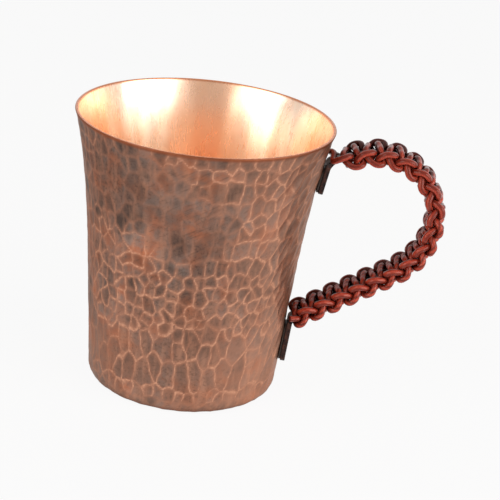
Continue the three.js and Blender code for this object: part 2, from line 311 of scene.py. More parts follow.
def workedness(angle, path):
    """How strongly the wall is hammered, from 0 to 1."""
    left = np.ones(np.broadcast(angle, path).shape)
    for middle, below, half_angle, half_height in PLANISHED:
        turn = (angle - math.radians(middle) + math.pi) % (2 * math.pi) - math.pi
        down = outer_length - path - below
        away = (turn / math.radians(half_angle)) ** 2 + (down / half_height) ** 2
        left *= 1 - PLANISHING * np.exp(-(away**1.5))
    return left * (1 - BASE_WORK * blend_between(path, *BASE_EDGE))


print("deepest mark, mm:", round(blows[:, 4].max() * DENT, 2))

# %% [markdown]
# The section is now spun. A float layer on its points carries the length along the section, and
# the spin copies it to every new point, so each one knows where on the sheet it lies. The marks
# then push the outer side in, never out: the cup keeps the outer size that the CAD model gives.
# Inside, the wall has the soft upright flutes that the raising left, about a tenth of a millimetre
# deep.

# %% The cup's mesh
FLUTES, BROAD_FLUTES = 26, 17  # two counts round the cup, so that the flutes aren't all alike
FLUTE_DEPTH = 0.08
FLUTE_FADE = (0.5, 6)  # where they start and are full, mm below the lip
LIP_MARGIN = 1.2  # the marks fade in over this much below the lip
SMOOTH_MIDDLE = 2  # radius of the middle of the base that is left smooth

sheet = bmesh.new()
along_layer = sheet.verts.layers.float.new("along")
chain = []
for (r, z), length in zip(section, path_lengths):
    vert = sheet.verts.new((r * MM, 0, z * MM))
    vert[along_layer] = length
    chain.append(vert)
edges = [sheet.edges.new(pair) for pair in zip(chain, chain[1:])]
bmesh.ops.spin(
    sheet,
    geom=chain + edges,
    cent=(0, 0, 0),
    axis=(0, 0, 1),
    angle=2 * math.pi,
    steps=SEGMENTS,
    use_merge=True,
)
bmesh.ops.remove_doubles(sheet, verts=sheet.verts[:], dist=0.001 * MM)
bmesh.ops.recalc_face_normals(sheet, faces=sheet.faces[:])

sheet.verts.ensure_lookup_table()
places = np.array([vert.co[:] for vert in sheet.verts]) / MM
along = np.array([vert[along_layer] for vert in sheet.verts])
angles = np.arctan2(places[:, 1], places[:, 0]) % (2 * math.pi)
ridge = np.zeros(len(places))
tone = np.full(len(places), 0.5)
points = np.array(section)
tangents = np.gradient(points, axis=0)
normals = np.stack([tangents[:, 1], -tangents[:, 0]], axis=1)
normals /= np.linalg.norm(normals, axis=1)[:, None]
ROW_TOLERANCE = 0.01
for index, length in enumerate(path_lengths):
    row = np.flatnonzero(np.abs(along - length) < ROW_TOLERANCE)
    r, z = section[index]
    outwards = normals[index]
    flat = np.stack([np.cos(angles[row]), np.sin(angles[row])], axis=1)
    if index < len(outer) and r > SMOOTH_MIDDLE:
        depth, ridge[row], tone[row] = hammered(length, angles[row], r)
        from_lip = outer_length - length
        depth *= workedness(angles[row], length) * blend_between(from_lip, 0.0, LIP_MARGIN)
    elif index >= len(outer) and z > SHEET:
        wander = 0.6 * math.sin(z / 23)  # the flutes bend a little on their way down
        waves = 0.6 * np.cos(FLUTES * angles[row] + wander)
        waves += 0.4 * np.cos(BROAD_FLUTES * angles[row] - wander)
        depth = -FLUTE_DEPTH * waves * blend_between(CUP_HEIGHT - z, *FLUTE_FADE)
    else:
        depth = np.zeros(len(row))
    places[row, :2] += flat * (depth * outwards[0])[:, None]
    places[row, 2] += depth * outwards[1]
ridge *= workedness(angles, along)
for vert, place in zip(sheet.verts, places * MM):
    vert.co = place

cup_mesh = bpy.data.meshes.new("hammered_cup")
sheet.to_mesh(cup_mesh)
sheet.free()
cup_mesh.shade_smooth()
mark(cup_mesh, "ridge", ridge)
mark(cup_mesh, "tone", tone)
cup = new_object("hammered_cup", cup_mesh)
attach(cup, "root")
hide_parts("cup_body")
print("triangles in the cup:", sum(len(face.vertices) - 2 for face in cup_mesh.polygons))

# %% [markdown]
# Outside, the copper has an old brown patina, an oxide skin that is duller than bare metal. Fire,
# water, hands and polishing have left it uneven, and each of them leaves marks of its own size:
# broad drifts between cool and warm, patches of thin and thick skin, dark clouds, upright streaks,
# oblique scratches and fine specks. One noise is made for each, with its scale worked out from the
# size of the marks. The streaks and scratches are noise drawn out in one direction.

# %% The marks in the patina
outside = new_material("hammered_copper_patina")
where = add(outside, "ShaderNodeTexCoord").outputs["Object"]
position = add(outside, "ShaderNodeSeparateXYZ", {"Vector": where}).outputs
ridge_mark = add(outside, "ShaderNodeAttribute", attribute_name="ridge").outputs["Fac"]
blow_tone = add(outside, "ShaderNodeAttribute", attribute_name="tone").outputs["Fac"]
upright = add(outside, "ShaderNodeMapping", {"Vector": where, "Scale": (1.0, 1.0, 0.16)})
oblique = add(
    outside,
    "ShaderNodeMapping",
    {"Vector": where, "Rotation": (0, math.radians(-32), 0), "Scale": (14.0, 1.0, 1.0)},
    vector_type="TEXTURE",
)
# One row for each noise: its dimensions, where it is read, its size in mm, and the rest.
drifts, patches, clouds, fine, streaks, scratches = [
    add(
        outside,
        "ShaderNodeTexNoise",
        {"Vector": at, "Scale": spots(size), **rest},
        noise_dimensions=dimensions,
    ).outputs["Fac"]
    for dimensions, at, size, rest in (
        ("3D", where, 20, {"Detail": 4.0}),
        ("4D", where, 9, {"W": 3.7, "Detail": 5.0, "Roughness": 0.6}),
        ("4D", where, 34, {"W": 1.3, "Detail": 3.0, "Roughness": 0.55}),
        ("3D", where, 0.9, {"Detail": 3.0}),
        ("3D", upright.outputs["Vector"], 2.4, {"Detail": 4.0}),
        ("3D", oblique.outputs["Vector"], 0.8, {"Detail": 3.0}),
    )
]
print("nodes that make the marks:", len(outside.node_tree.nodes))

# %% [markdown]
# Each layer of colour needs a share, from 0 to 1, that says where it lies and how strongly. A Map
# Range node reads a noise, a mark on the mesh or a place on the cup and stretches part of its range.
# Under the lip the wall is darker. Towards the handle it is lighter, which is painted light standing for
# the stronger right-hand box, and it is lighter low down too. A last darker line lies along the lip and
# the foot: painted shade on the rounded lip edge and the base corner, which turn away from the light.

# %% Where each layer lies
readings = {  # what is read, where the share is 0, where it is full, and how strong it is there
    "warm": (drifts, 0.38, 0.6, 0.56),
    "thin skin": (patches, 0.5, 0.68, 0.85),
    "thick skin": (patches, 0.48, 0.33, 0.7),
    "clouds": (clouds, 0.54, 0.38, 0.5),
    "streaks": (streaks, 0.5, 0.72, 0.45),
    "scratches": (scratches, 0.56, 0.7, 0.4),
    "specks": (fine, 0.52, 0.66, 1.1),
    "upper wall": (position["Z"], 58 * MM, 84 * MM, 0.18),
    # Lighter towards the handle, at +X: painted light for the stronger right-hand box. The same share
    # makes that side smoother.
    "near the handle": (position["X"], 4 * MM, 30 * MM, 0.28),
    "low wall": (position["Z"], 46 * MM, 12 * MM, 0.17),
    "crests": (ridge_mark, 0.56, 1.0, 1.0),
    # Darker at the foot and on the lip's outer edge: painted shade where the base corner and the rounded
    # lip turn away from the light.
    "foot": (position["Z"], 2.6 * MM, 0.5 * MM, 0.75),
    "under the lip": (position["Z"], (CUP_HEIGHT - 1.5) * MM, (CUP_HEIGHT - 0.6) * MM, 0.85),
}
shares = {}
for layer, (reading, none, full, strength) in readings.items():
    limits = {"Value": reading, "From Min": none, "From Max": full, "To Max": strength}
    shares[layer] = add(outside, "ShaderNodeMapRange", limits).outputs["Result"]
rubbing = add(
    outside,
    "ShaderNodeMapRange",
    {"Value": fine, "From Min": 0.38, "From Max": 0.6, "To Min": 0.22, "To Max": 1.0},
)
print("layers read:", len(readings))

# %% [markdown]
# Some shares are worked out from two others. The tone of each blow makes some cells warmer and
# darker than their neighbours, specks gather in the clouds, and the crests of the ridges are rubbed
# bright in spots, with a soft light rim beside them.

# %% Shares from two others
sums = {  # the operation, and what goes into it
    "cells": ("MULTIPLY_ADD", blow_tone, 0.448, shares["warm"]),
    "thick skin": ("MULTIPLY_ADD", blow_tone, 0.5, shares["thick skin"]),
    "specks": ("MULTIPLY", shares["specks"], shares["clouds"]),
    # Painted light on the handle side, added to the lighter low wall.
    "handle-side painted light and low wall": ("ADD", shares["near the handle"], shares["low wall"]),
    "beside ridges": ("MULTIPLY", ridge_mark, 0.56),
    "rubbed ridges": ("MULTIPLY", shares["crests"], rubbing.outputs["Result"]),
}
for layer, (operation, *inputs) in sums.items():
    worked_out = add(outside, "ShaderNodeMath", dict(enumerate(inputs)), operation=operation)
    shares[layer] = worked_out.outputs[0]
print("shares:", ", ".join(shares))

# %% [markdown]
# The colours are laid over each other like coats, from the grey-brown ground up: first what the skin is,
# then what lies on it, then the painted light on the handle side with the lighter low wall, then what
# hands and cloths took off, down to the salmon of bare copper on the ridges, and last the painted shade
# at the foot and the lip. The rubbed places are also smoother and more metallic, and the side towards
# the handle is smoothed by the hand.

# %% Hammered copper with patina
coats = (
    ("cells", "#a36c53"),
    ("thin skin", "#c0693f"),
    ("thick skin", "#54443d"),
    ("clouds", "#5a4238"),
    ("streaks", "#c08a6e"),
    ("scratches", "#4f3d35"),
    ("specks", "#3f312b"),
    ("upper wall", "#4a3932"),
    # Painted light on the handle side, with the lighter low wall.
    ("handle-side painted light and low wall", "#cc957a"),
    ("beside ridges", "#c48466"),
    ("rubbed ridges", "#e0a586"),
    # Painted shade at the foot and on the lip's outer edge.
    ("foot", "#6e3a26"),
    ("under the lip", "#8c4a2c"),
)
patina_colour = colour("#8a7970")
for layer, code in coats:
    coat = {FACTOR: shares[layer], FIRST: patina_colour, SECOND: colour(code)}
    patina_colour = add(outside, "ShaderNodeMix", coat, data_type="RGBA").outputs[RESULT]
dullness = add(
    outside, "ShaderNodeMapRange", {"Value": shares["rubbed ridges"], "To Min": 0.42, "To Max": 0.3}
)
hand_smoothed = add(
    outside,
    "ShaderNodeMath",
    {0: shares["near the handle"], 1: -0.22, 2: dullness.outputs["Result"]},
    operation="MULTIPLY_ADD",
)
bareness = add(
    outside, "ShaderNodeMapRange", {"Value": shares["rubbed ridges"], "To Min": 0.75, "To Max": 1.0}
)
grain = add(outside, "ShaderNodeBump", {"Height": fine, "Distance": 0.04 * MM, "Strength": 0.7})
patina = add(
    outside,
    "ShaderNodeBsdfPrincipled",
    {
        "Base Color": patina_colour,
        "Roughness": hand_smoothed.outputs[0],
        "Metallic": bareness.outputs["Result"],
        "Specular Tint": colour("#c6bab4"),
        "Normal": grain.outputs["Normal"],
    },
)
add(outside, "ShaderNodeOutputMaterial", {"Surface": patina.outputs[0]})
print("nodes in the patina:", len(outside.node_tree.nodes))

# %% [markdown]
# Inside and over the lip the copper is bare and polished, so it is a plain metal. Its colour is written
# paler than a flat copper sheet looks, because inside a cup light goes from wall to wall and takes the
# metal's colour each time. The front and the back are painted a deeper orange, a painted reflection of
# light that bounced more often between the walls, and the lip is a deeper orange. Faint upright
# polishing lines widen the reflections.

# %% Polished copper
inside = new_material("polished_copper")
where = add(inside, "ShaderNodeTexCoord").outputs["Object"]
drawn = add(inside, "ShaderNodeMapping", {"Vector": where, "Scale": (1.0, 1.0, 0.12)})
lines = add(
    inside, "ShaderNodeTexNoise", {"Vector": drawn.outputs["Vector"], "Scale": spots(1.2), "Detail": 4.0}
).outputs["Fac"]
tall = add(inside, "ShaderNodeMapping", {"Vector": where, "Scale": (1.0, 1.0, 0.3)})
cloud = add(
    inside,
    "ShaderNodeTexNoise",
    {"Vector": tall.outputs["Vector"], "Scale": spots(7), "Detail": 4.0, "Roughness": 0.6},
)
deeper = add(
    inside, "ShaderNodeMapRange", {"Value": cloud.outputs["Fac"], "From Min": 0.4, "From Max": 0.64}
)
position = add(inside, "ShaderNodeSeparateXYZ", {"Vector": where}).outputs
off_middle = add(inside, "ShaderNodeMath", {0: position["X"]}, operation="ABSOLUTE")
# Painted reflection: the front and back inside are painted the deeper orange that light takes after
# bouncing between the walls.
painted_reflection_warmth = add(
    inside,
    "ShaderNodeMapRange",
    {"Value": off_middle.outputs[0], "From Min": 22 * MM, "From Max": 4 * MM, "To Max": 0.85},
    interpolation_type="SMOOTHSTEP",
)
at_lip = add(
    inside,
    "ShaderNodeMapRange",
    {
        "Value": position["Z"],
        "From Min": (CUP_HEIGHT - 0.8) * MM,
        "From Max": (CUP_HEIGHT - 0.2) * MM,
        "To Max": 0.9,
    },
)
polish_colour = colour("#ffeedd")
for layer, code in ((deeper, "#fdd8bc"), (painted_reflection_warmth, "#ffc59e"), (at_lip, "#c97a50")):
    coat = {FACTOR: layer.outputs["Result"], FIRST: polish_colour, SECOND: colour(code)}
    polish_colour = add(inside, "ShaderNodeMix", coat, data_type="RGBA").outputs[RESULT]
polish_grade = add(inside, "ShaderNodeMapRange", {"Value": lines, "To Min": 0.22, "To Max": 0.34})
polish_lines = add(inside, "ShaderNodeBump", {"Height": lines, "Distance": 0.02 * MM, "Strength": 0.5})
polish = add(
    inside,
    "ShaderNodeBsdfPrincipled",
    {
        "Base Color": polish_colour,
        "Roughness": polish_grade.outputs["Result"],
        "Metallic": 1.0,
        "Normal": polish_lines.outputs["Normal"],
    },
)
add(inside, "ShaderNodeOutputMaterial", {"Surface": polish.outputs[0]})

cup_mesh.materials.append(outside)
cup_mesh.materials.append(inside)
polish_start = path_lengths[len(outer) + 1] - ROW_TOLERANCE
polished_faces = 0
for face in cup_mesh.polygons:
    if min(along[i] for i in face.vertices) > polish_start:
        face.material_index = 1
        polished_faces += 1
print("polished faces:", polished_faces)

# %% [markdown]
# The handle is one copper strip, flattened and widened at both ends into tabs. The CAD solid has
# its exact path, so a copy of it is taken: the triangles are joined to quads, the sharp edges are
# bevelled as a file would leave them, and subdivision rounds its facets. The bevelled edges are
# marked, because the dark skin wears off there first. The solder is made the same way, and a little
# fuller than its solid, because it ran into the hammer marks.

# %% A finer copy of a CAD solid
FLAT, SKEW = math.radians(8), math.radians(60)  # limits for joining two triangles
CREASE = math.radians(50)  # edges that turn more than this are rounded
STRIP_EDGE, SOLDER_EDGE = 0.3, 0.12  # widths of the bevels, mm
SOLDER_GROWTH = 0.24  # mm


def finer_copy(node_name, piece_name, edge_width, grow=0.0):
    """A rounded mesh piece made from a CAD node. grow moves its surface out, in mm."""
    shape = bmesh.new()
    shape.from_mesh(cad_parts[node_name].data)
    bmesh.ops.remove_doubles(shape, verts=shape.verts[:], dist=0.01 * MM)
    bmesh.ops.join_triangles(
        shape,
        faces=shape.faces[:],
        angle_face_threshold=FLAT,
        angle_shape_threshold=SKEW,
    )
    bmesh.ops.recalc_face_normals(shape, faces=shape.faces[:])
    if grow:
        shape.normal_update()
        shifts = [vert.normal * vert.calc_shell_factor() * grow * MM for vert in shape.verts]
        for vert, shift in zip(shape.verts, shifts):
            vert.co += shift
    sharp = [edge for edge in shape.edges if edge.calc_face_angle(0) > CREASE]
    worn = shape.verts.layers.float.new("edge")
    made = bmesh.ops.bevel(
        shape,
        geom=sharp,
        offset=edge_width * MM,
        affect="EDGES",
        segments=2,
        profile=0.5,
        material=-1,
        clamp_overlap=True,
    )
    for vert in made["verts"]:
        vert[worn] = 1.0
    mesh = bpy.data.meshes.new(piece_name)
    shape.to_mesh(mesh)
    shape.free()
    mesh.shade_smooth()
    piece = new_object(piece_name, mesh)
    rounding = piece.modifiers.new("rounding", "SUBSURF")
    rounding.levels = rounding.render_levels = 2
    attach(piece, "root")
    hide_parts(node_name)
    print(piece_name, "faces before subdivision:", len(mesh.polygons))
    return piece


strip = finer_copy("handle_strip", "copper_strip", STRIP_EDGE)
solder = [
    finer_copy("upper_solder_seam", "upper_solder", SOLDER_EDGE, grow=SOLDER_GROWTH),
    finer_copy("lower_solder_seam", "lower_solder", SOLDER_EDGE, grow=SOLDER_GROWTH),
]

# %% [markdown]
# The strip was heated for soldering and left black, a thick oxide over copper that only shows at
# the edges. One noise gives the oxide its blotches, its dull spots and its scaly relief.

# %% Darkened copper
black_skin = new_material("fire_darkened_copper")
where = add(black_skin, "ShaderNodeTexCoord").outputs["Object"]
edge_mark = add(black_skin, "ShaderNodeAttribute", attribute_name="edge").outputs["Fac"]
scale = add(
    black_skin,
    "ShaderNodeTexNoise",
    {"Vector": where, "Scale": spots(2.2), "Detail": 6.0, "Roughness": 0.65},
).outputs["Fac"]
edge_wear = add(
    black_skin, "ShaderNodeMapRange", {"Value": scale, "From Min": 0.42, "From Max": 0.66, "To Max": 0.8}
)
bare_edge = add(
    black_skin, "ShaderNodeMath", {0: edge_mark, 1: edge_wear.outputs["Result"]}, operation="MULTIPLY"
)
strip_colour = colour("#1c1718")
for share, code in ((scale, "#302726"), (bare_edge.outputs[0], "#694336")):
    coat = {FACTOR: share, FIRST: strip_colour, SECOND: colour(code)}
    strip_colour = add(black_skin, "ShaderNodeMix", coat, data_type="RGBA").outputs[RESULT]
oxide_grade = add(black_skin, "ShaderNodeMapRange", {"Value": scale, "To Min": 0.34, "To Max": 0.56})
oxide_relief = add(
    black_skin, "ShaderNodeBump", {"Height": scale, "Distance": 0.06 * MM, "Strength": 0.7}
)
oxide_skin = add(
    black_skin,
    "ShaderNodeBsdfPrincipled",
    {
        "Base Color": strip_colour,
        "Roughness": oxide_grade.outputs["Result"],
        "Metallic": 0.85,
        "Normal": oxide_relief.outputs["Normal"],
    },
)
add(black_skin, "ShaderNodeOutputMaterial", {"Surface": oxide_skin.outputs[0]})
strip.data.materials.append(black_skin)
print("nodes in the dark skin:", len(black_skin.node_tree.nodes))

# %% [markdown]
# The solder is a silver alloy gone dull grey, with the skin of a surface that ran and froze. It
# shows only beside the tabs, so one noise serves its colour and its relief.

# %% Silver solder
silver = new_material("silver_brazing_solder")
where = add(silver, "ShaderNodeTexCoord").outputs["Object"]
frozen = add(
    silver, "ShaderNodeTexNoise", {"Vector": where, "Scale": spots(1.4), "Detail": 5.0, "Roughness": 0.6}
).outputs["Fac"]
solder_colour = add(
    silver,
    "ShaderNodeMix",
    {FACTOR: frozen, FIRST: colour("#2b2523"), SECOND: colour("#5a504a")},
    data_type="RGBA",
)
frozen_relief = add(silver, "ShaderNodeBump", {"Height": frozen, "Distance": 0.08 * MM, "Strength": 0.8})
solder_skin = add(
    silver,
    "ShaderNodeBsdfPrincipled",
    {
        "Base Color": solder_colour.outputs[RESULT],
        "Roughness": 0.5,
        "Metallic": 0.8,
        "Normal": frozen_relief.outputs["Normal"],
    },
)
add(silver, "ShaderNodeOutputMaterial", {"Surface": solder_skin.outputs[0]})
for seam in solder:
    seam.data.materials.append(silver)
print("nodes in the solder:", len(silver.node_tree.nodes))

# %% [markdown]
# The grip is one waxed cord tied over the strip in flat knots. To lay it, the strip's middle line
# is needed: straight runs with round bends between them, in the plane of the handle. The same
# sizes as in the CAD model give it.

# %% The middle line of the strip
STRIP_THICKNESS = 1.6
GRIP_WIDTH = 4.0
SEAM = 0.8  # from the wall to a tab
UPPER_TAB_END, UPPER_ROOT = 70.7, 82.0
LOWER_TAB_END, LOWER_ROOT = 10.0, 26.0
HANDLE_REACH = 78.0
TOP_RUN_RISE = math.radians(19.5)
BEND_RADII = (3.0, 20.3, 23.5, 3.5)


def tab_line(end, root):
    """Where the middle of a tab lies, at a height: a straight line that keeps the seam at both ends."""
    first, last = (wall_radius(z) + SEAM + STRIP_THICKNESS / 2 for z in (end, root))
    return lambda z: first + (last - first) * (z - end) / (root - end)


upper_tab = tab_line(UPPER_TAB_END, UPPER_ROOT - BEND_RADII[0] / 2)
lower_tab = tab_line(LOWER_TAB_END, LOWER_ROOT - BEND_RADII[3] / 2)
upper_corner = Vector((upper_tab(UPPER_ROOT), UPPER_ROOT))
lower_corner = Vector((lower_tab(LOWER_ROOT), LOWER_ROOT))
top_corner = upper_corner.y + (HANDLE_REACH - upper_corner.x) * math.tan(TOP_RUN_RISE)
farthest = top_corner - BEND_RADII[1] * math.tan((math.pi / 2 + TOP_RUN_RISE) / 2)
to_bow = Vector((HANDLE_REACH - BEND_RADII[2], farthest)) - lower_corner
lower_rise = math.atan2(to_bow.y, to_bow.x) - math.asin(BEND_RADII[2] / to_bow.length)
bottom_corner = farthest - BEND_RADII[2] * math.tan((math.pi / 2 - lower_rise) / 2)
corners = [
    Vector((upper_tab(UPPER_TAB_END), UPPER_TAB_END)),
    upper_corner,
    Vector((HANDLE_REACH, top_corner)),
    Vector((HANDLE_REACH, bottom_corner)),
    lower_corner,
    Vector((lower_tab(LOWER_TAB_END), LOWER_TAB_END)),
]

stretches = []  # each: length, where it starts, its direction, and its signed turn per mm
place = corners[0]
for i, radius in enumerate(BEND_RADII):
    before = (corners[i + 1] - corners[i]).normalized()
    after = (corners[i + 2] - corners[i + 1]).normalized()
    turn = -before.angle_signed(after)
    reach = radius * math.tan(abs(turn) / 2)
    start = corners[i + 1] - before * reach
    stretches.append(((start - place).length, place, before, 0.0))
    stretches.append((radius * abs(turn), start, before, math.copysign(1 / radius, turn)))
    place = corners[i + 1] + after * reach
stretches.append(((corners[-1] - place).length, place, after, 0.0))
ends = list(np.cumsum([stretch[0] for stretch in stretches]))


def beside_strip(distance, across, out):
    """A point beside the strip: how far along it, across it, and out of the handle's loop."""
    distance = min(max(distance, 0.0), ends[-1])
    index = next(i for i, end in enumerate(ends) if distance <= end + 1e-9)
    length, start, direction, turning = stretches[index]
    done = distance - (ends[index] - length)
    first = math.atan2(direction.y, direction.x)
    heading = first + turning * done
    if turning:
        x = start.x + (math.sin(heading) - math.sin(first)) / turning
        z = start.y - (math.cos(heading) - math.cos(first)) / turning
    else:
        x, z = start.x + direction.x * done, start.y + direction.y * done
    return Vector((x - math.sin(heading) * out, across, z + math.cos(heading) * out))


print("ends of the runs and bends, mm:", [round(end, 1) for end in ends])

# %% [markdown]
# A flat knot is two half knots. In each half knot one working end always crosses the inner face
# of the strip and the other always the outer face, and at each edge they hook round each other.
# Six way points give one end's route through a half knot, and turned half round the strip they
# serve the other end too. The folded middle of the cord sits against the upper root.

# %% The route of the cord
SPACING = 2.1  # between the middles of neighbouring turns
TIGHTNESS = 1.476  # least length of a half knot, in spacings
SLEEVE_START, SLEEVE_END = 2.5, 0.2  # from the bends at the roots, mm
FOLD_STRETCH, STRETCHED_KNOTS = 1.8, 4  # the fold draws the first half knots towards the root
FIRST_HAND = -1  # the edge that the inner end goes round first
HALF_KNOT = (  # half knots ahead, then spacings across from the strip's edge and out from its face
    (-0.35, 0.44, 0.65),  # a bar ends
    (-0.27, 1.34, -0.2),  # outside the other end
    (0.41, 1.98, -1.22),  # the outer turn
    (1.19, 1.67, -1.3),  # the lower turn
    (1.29, 0.72, -0.82),  # inside the other end
    (0.9, 0.39, 0.4),  # the next bar starts
)
BAR_ALONG, BAR_OUT = -0.18, 0.6  # the middle of a bar
FOLD_TURN = (-0.27, 1.2, -0.93)  # where the folded middle goes round the edge

sleeve_start = ends[1] + SLEEVE_START
sleeve_length = ends[-3] - SLEEVE_END - sleeve_start
gaps = math.floor(sleeve_length / (TIGHTNESS * SPACING))
pitch = sleeve_length / gaps


def along_strip(count):
    """Length along the strip at a number of half knots from the fold."""
    return sleeve_start + count * pitch - FOLD_STRETCH * max(0, 1 - count / STRETCHED_KNOTS)


def way_point(index, hand, face, point):
    """One way point, on one edge and one face of the strip."""
    ahead, across, out = point
    aside = hand * (GRIP_WIDTH / 2 + across * SPACING)
    clear = face * (STRIP_THICKNESS / 2 + out * SPACING)
    return beside_strip(along_strip(index + ahead), aside, clear)


def bar_point(index, face):
    """The middle of a bar that crosses a face of the strip."""
    return way_point(index, 0, face, (BAR_ALONG, 0, BAR_OUT))


inner_end = [way_point(0, FIRST_HAND, -1, point) for point in (FOLD_TURN, *HALF_KNOT[2:])]
outer_end = [bar_point(0, 1)] + [way_point(0, -FIRST_HAND, 1, point) for point in HALF_KNOT]
for i in range(1, gaps + 1):
    hand = FIRST_HAND if i % 2 == 0 else -FIRST_HAND
    knot = HALF_KNOT[:3] if i == gaps else HALF_KNOT
    inner_end += [bar_point(i, -1)] + [way_point(i, hand, -1, point) for point in knot]
    outer_end += [bar_point(i, 1)] + [way_point(i, -hand, 1, point) for point in knot]
route = np.array([point[:] for point in reversed(inner_end)] + [point[:] for point in outer_end])
print("half knots:", gaps + 1, "way points:", len(route))

# %% [markdown]
# A smooth curve through the way points becomes a poly curve with a point every half millimetre.
# The cord is three waxed strands laid together, so its section has three soft lobes, and tilting
# the section a little more at each point winds them round each other. The curve is then turned
# into a mesh with closed ends.

# %% The knotted cord
CORD_RADIUS = 1.1
LOBE = 0.075  # how deep the groove between two strands is, as a share of the radius
STRANDS = 3
LAY_LENGTH = 6.5  # one full turn of a strand
CORD_STEP = 0.5
SECTION_POINTS = 15  # round the cord
CURVE_STEPS = 16  # from one way point to the next

ghost_start = 2 * route[0] - route[1]
ghost_end = 2 * route[-1] - route[-2]
guided = np.vstack([ghost_start, route, ghost_end])
done = np.linspace(0, 1, CURVE_STEPS, endpoint=False)[:, None]
fine_route = []
for previous, start, end, following in zip(guided, guided[1:], guided[2:], guided[3:]):
    leaving, arriving = (end - previous) / 2, (following - start) / 2
    square = 3 * (end - start) - 2 * leaving - arriving
    cube = 2 * (start - end) + leaving + arriving
    fine_route.append(start + leaving * done + square * done**2 + cube * done**3)
fine_route = np.vstack(fine_route + [route[-1:]])
travelled = np.concatenate([[0], np.cumsum(np.linalg.norm(np.diff(fine_route, axis=0), axis=1))])
cord_length = travelled[-1]
stations = np.linspace(0, cord_length, round(cord_length / CORD_STEP) + 1)
centre_line = np.stack([np.interp(stations, travelled, axis) for axis in fine_route.T], axis=1)

section_curve = bpy.data.curves.new("cord_section", "CURVE")
ring = section_curve.splines.new("POLY")
ring.points.add(SECTION_POINTS - 1)
ring.use_cyclic_u = True
for j, point in enumerate(ring.points):
    turn = 2 * math.pi * j / SECTION_POINTS
    radius = CORD_RADIUS * MM * (1 - LOBE * (0.5 - 0.5 * math.cos(STRANDS * turn)))
    point.co = (radius * math.cos(turn), radius * math.sin(turn), 0, 1)
section_object = new_object("cord_section", section_curve)

cord_curve = bpy.data.curves.new("cord_line", "CURVE")
cord_curve.dimensions = "3D"
cord_curve.bevel_mode = "OBJECT"
cord_curve.bevel_object = section_object
cord_curve.use_fill_caps = True
cord_curve.twist_mode = "MINIMUM"
line = cord_curve.splines.new("POLY")
line.points.add(len(centre_line) - 1)
for point, centre, station in zip(line.points, centre_line * MM, stations):
    point.co = (*centre, 1)
    point.tilt = 2 * math.pi * station / LAY_LENGTH
line_object = new_object("cord_line", cord_curve)
shaped = line_object.evaluated_get(bpy.context.evaluated_depsgraph_get())
cord_mesh = bpy.data.meshes.new_from_object(shaped)
bpy.data.objects.remove(line_object)
bpy.data.objects.remove(section_object)
bpy.data.curves.remove(cord_curve)
bpy.data.curves.remove(section_curve)

cord_mesh.name = "knotted_cord"
closing = bmesh.new()
closing.from_mesh(cord_mesh)
bmesh.ops.remove_doubles(closing, verts=closing.verts[:], dist=0.001 * MM)
bmesh.ops.recalc_face_normals(closing, faces=closing.faces[:])
closing.to_mesh(cord_mesh)
closing.free()
cord_mesh.shade_smooth()
print("cord length, mm:", round(cord_length), "rings:", len(centre_line))

# %% [markdown]
# The mesh is one ring of points for each point of the curve, in order. So a point's number gives
# its place along the cord and round it, and how deep it lies in a groove between two strands. The
# strip's middle line tells which side of the cord is turned to the strip. The material uses all
# three.

# %% Marks on the cord
LIT, BURIED = 0.6, -0.35  # facing, from -1 to 1, where the dark starts and where it is full
MIDDLE_STEP = 0.8  # between points of the strip's middle line, mm
HEAD_START = 3  # that line starts this far before the sleeve, mm

numbers = np.arange(len(cord_mesh.vertices))
rings = numbers // SECTION_POINTS
turns = 2 * math.pi * (numbers % SECTION_POINTS) / SECTION_POINTS
strand = np.stack([rings * CORD_STEP, np.cos(turns), np.sin(turns)], axis=1)
distances = np.arange(sleeve_start - HEAD_START, ends[-1], MIDDLE_STEP)
middle_line = np.array([beside_strip(distance, 0, 0)[:] for distance in distances])
nearest = [np.linalg.norm(middle_line - middle, axis=1).argmin() for middle in centre_line]
outwards = centre_line - middle_line[nearest]
outwards /= np.linalg.norm(outwards, axis=1)[:, None]
cord_places = np.array([vert.co[:] for vert in cord_mesh.vertices]) / MM
facing = ((cord_places - centre_line[rings]) * outwards[rings]).sum(axis=1) / CORD_RADIUS
layer = cord_mesh.attributes.new("strand", "FLOAT_VECTOR", "POINT")
layer.data.foreach_set("vector", strand.astype(np.float32).ravel())
mark(cord_mesh, "groove", 0.5 - 0.5 * np.cos(STRANDS * turns))
# The side of the cord turned to the strip is kept for painted shade.
mark(cord_mesh, "buried", blend_between(facing, LIT, BURIED))
cord = new_object("knotted_cord", cord_mesh)
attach(cord, "root")
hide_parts("handle_cord")
print("points of the cord in full dark:", int((facing < BURIED).sum()))

# %% [markdown]
# The cord is dark red waxed thread. Wax fills the fibres, so it shines softly, and a thin coat of wax
# over them adds small sharp lights. Pale fibre streaks are partly the thread's grain and partly painted
# highlight. The grooves between the strands are darker, which is painted shade, and the side turned to
# the strip is darkest, painted shade too. The fibres follow the strands: the noise reads the place along
# the cord and the turn round it, drawn out along the cord.

# %% Waxed cord
waxed = new_material("waxed_cotton_cord")
strand_place = add(waxed, "ShaderNodeAttribute", attribute_name="strand").outputs["Vector"]
groove_mark = add(waxed, "ShaderNodeAttribute", attribute_name="groove").outputs["Fac"]
painted_shade_mark = add(waxed, "ShaderNodeAttribute", attribute_name="buried").outputs["Fac"]
drawn = add(waxed, "ShaderNodeMapping", {"Vector": strand_place, "Scale": (0.35, 3.2, 3.2)})
fibres = add(
    waxed,
    "ShaderNodeTexNoise",
    {"Vector": drawn.outputs["Vector"], "Scale": 1.6, "Detail": 4.0, "Roughness": 0.6},
).outputs["Fac"]
where = add(waxed, "ShaderNodeTexCoord").outputs["Object"]
dye = add(waxed, "ShaderNodeTexNoise", {"Vector": where, "Scale": spots(5), "Detail": 3.0})
